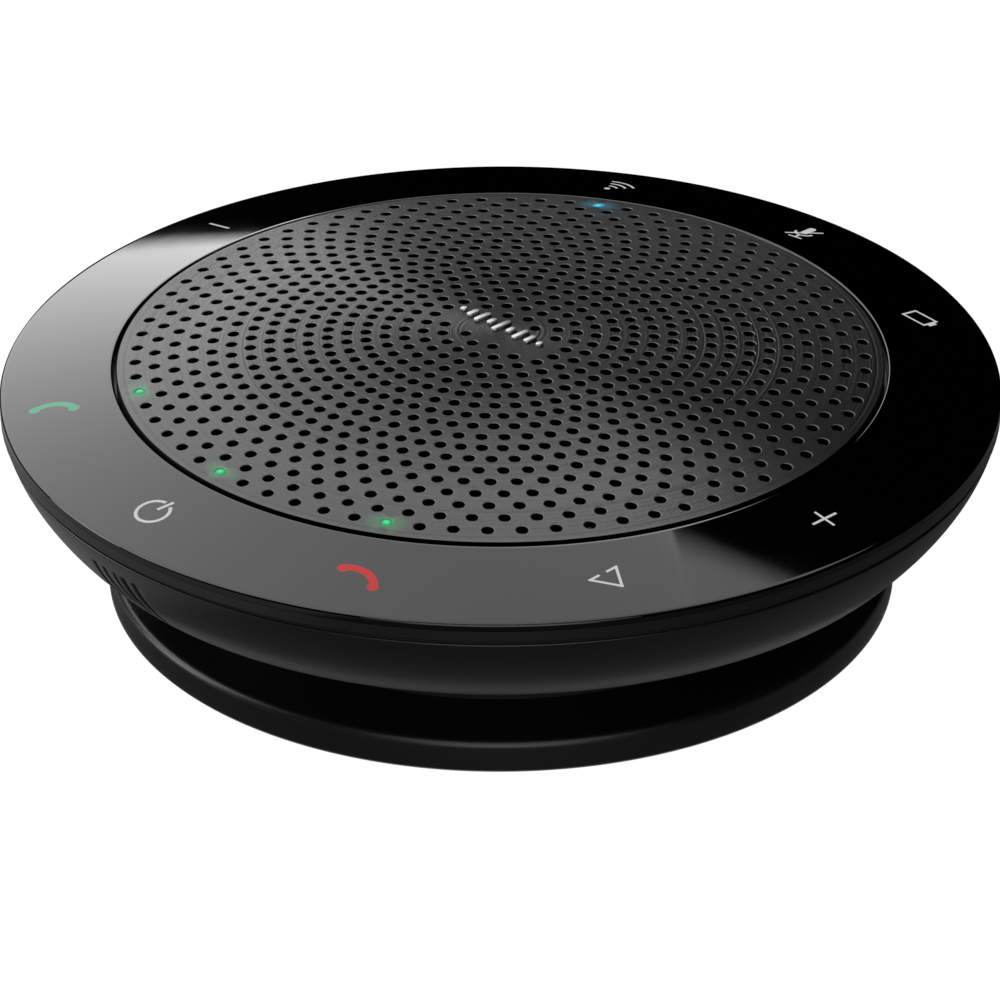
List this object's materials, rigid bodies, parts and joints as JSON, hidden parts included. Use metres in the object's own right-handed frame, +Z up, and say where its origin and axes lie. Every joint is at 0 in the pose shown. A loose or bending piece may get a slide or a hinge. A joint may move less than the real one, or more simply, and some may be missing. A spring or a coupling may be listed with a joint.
{
  "type": "conference speakerphone",
  "caption": "Round table-top speakerphone: domed perforated grille, sloping gloss ring of pressed keys, tapering bowl and a base with a groove for winding the cord.",
  "frame": {"origin": "centre of the rubber foot's lower face, on the surface it stands on", "axes": "+Z up through the centre of the grille; +Y away from a user who reads the badge and legends upright; +X to that user's right"},
  "size_m": [0.12, 0.12, 0.0333],
  "materials": {
    "grille_metal": "turned, dark anodised",
    "acoustic_cloth": "woven, black",
    "badge_metal": "polished",
    "light_guide": "clear moulded",
    "circuit_board": "solder mask",
    "led_package": "moulded",
    "gloss_ring": "piano black",
    "satin_case": "fine satin texture",
    "switch_plastic": "moulded",
    "seal_rubber": "moulded",
    "drum_plastic": "matt",
    "foot_rubber": "matt, fine grain",
    "rating_film": "blank film",
    "screw_steel": "zinc plated",
    "driver_steel": "stamped and coated",
    "gasket_foam": "foam",
    "surround_rubber": "moulded half roll",
    "spider_cloth": "resin-dipped weave",
    "magnet_ferrite": "sintered ferrite",
    "terminal_brass": "plated",
    "chip_plastic": "moulded epoxy",
    "battery_wrap": "shrink wrap",
    "microphone_metal": "drawn can",
    "cone_paper": "pressed paper",
    "coil_copper": "wound copper",
    "legend_white": "printed",
    "legend_green": "printed",
    "legend_red": "printed"
  },
  "bodies": {
    "root": {"grille": "grille_metal", "grille_cloth": "acoustic_cloth", "badge": "badge_metal", "light_guide": "light_guide", "led_board": "circuit_board", "indicator_leds": "led_package", "control_ring": "gloss_ring", "switch_bodies": "switch_plastic", "upper_housing": "satin_case", "housing_seal": "seal_rubber", "lower_housing": "satin_case", "vent_mesh": "acoustic_cloth", "winding_drum": "drum_plastic", "cord_inlet": "seal_rubber", "base_disc": "satin_case", "rubber_foot": "foot_rubber", "rating_plate": "rating_film", "base_screws": "screw_steel", "housing_screws": "screw_steel", "driver_basket": "driver_steel", "driver_gasket": "gasket_foam", "driver_screws": "screw_steel", "driver_surround": "surround_rubber", "driver_spider": "spider_cloth", "driver_magnet": "magnet_ferrite", "driver_top_plate": "driver_steel", "driver_yoke": "driver_steel", "driver_terminals": "terminal_brass", "main_board": "circuit_board", "board_chips": "chip_plastic", "shield_can": "driver_steel", "board_screws": "screw_steel", "battery_pack": "battery_wrap", "battery_pad": "gasket_foam", "microphone": "microphone_metal", "microphone_boot": "seal_rubber", "key_frame": "satin_case", "key_board": "circuit_board"},
    "cone": {"driver_cone": "cone_paper", "dust_cap": "cone_paper", "voice_coil": "coil_copper"},
    "key_plus": {"key_plus": "gloss_ring", "legend_plus": "legend_white"},
    "key_battery": {"key_battery": "gloss_ring", "legend_battery": "legend_white"},
    "key_mute": {"key_mute": "gloss_ring", "legend_mute": "legend_white"},
    "key_wireless": {"key_wireless": "gloss_ring", "legend_wireless": "legend_white"},
    "key_minus": {"key_minus": "gloss_ring", "legend_minus": "legend_white"},
    "key_answer": {"key_answer": "gloss_ring", "legend_answer": "legend_green"},
    "key_power": {"key_power": "gloss_ring", "legend_power": "legend_white"},
    "key_end": {"key_end": "gloss_ring", "legend_end": "legend_red"},
    "key_assist": {"key_assist": "gloss_ring", "legend_assist": "legend_white"}
  },
  "joints": [
    {"name": "cone_travel", "type": "slide", "parent": "root", "child": "cone", "axis": [0, 0, 1], "range_m": [-0.001, 0.001], "stiffness_N_per_m": 1500, "deforming": ["driver_surround", "driver_spider"]},
    {"name": "press_plus", "type": "slide", "parent": "root", "child": "key_plus", "axis": [0, 0, -1], "range_m": [0, 0.00025], "stiffness_N_per_m": 4000, "springref_m": -0.00005},
    {"name": "press_battery", "type": "slide", "parent": "root", "child": "key_battery", "axis": [0, 0, -1], "range_m": [0, 0.00025], "stiffness_N_per_m": 4000, "springref_m": -0.00005},
    {"name": "press_mute", "type": "slide", "parent": "root", "child": "key_mute", "axis": [0, 0, -1], "range_m": [0, 0.00025], "stiffness_N_per_m": 4000, "springref_m": -0.00005},
    {"name": "press_wireless", "type": "slide", "parent": "root", "child": "key_wireless", "axis": [0, 0, -1], "range_m": [0, 0.00025], "stiffness_N_per_m": 4000, "springref_m": -0.00005},
    {"name": "press_minus", "type": "slide", "parent": "root", "child": "key_minus", "axis": [0, 0, -1], "range_m": [0, 0.00025], "stiffness_N_per_m": 4000, "springref_m": -0.00005},
    {"name": "press_answer", "type": "slide", "parent": "root", "child": "key_answer", "axis": [0, 0, -1], "range_m": [0, 0.00025], "stiffness_N_per_m": 4000, "springref_m": -0.00005},
    {"name": "press_power", "type": "slide", "parent": "root", "child": "key_power", "axis": [0, 0, -1], "range_m": [0, 0.00025], "stiffness_N_per_m": 4000, "springref_m": -0.00005},
    {"name": "press_end", "type": "slide", "parent": "root", "child": "key_end", "axis": [0, 0, -1], "range_m": [0, 0.00025], "stiffness_N_per_m": 4000, "springref_m": -0.00005},
    {"name": "press_assist", "type": "slide", "parent": "root", "child": "key_assist", "axis": [0, 0, -1], "range_m": [0, 0.00025], "stiffness_N_per_m": 4000, "springref_m": -0.00005}
  ]
}
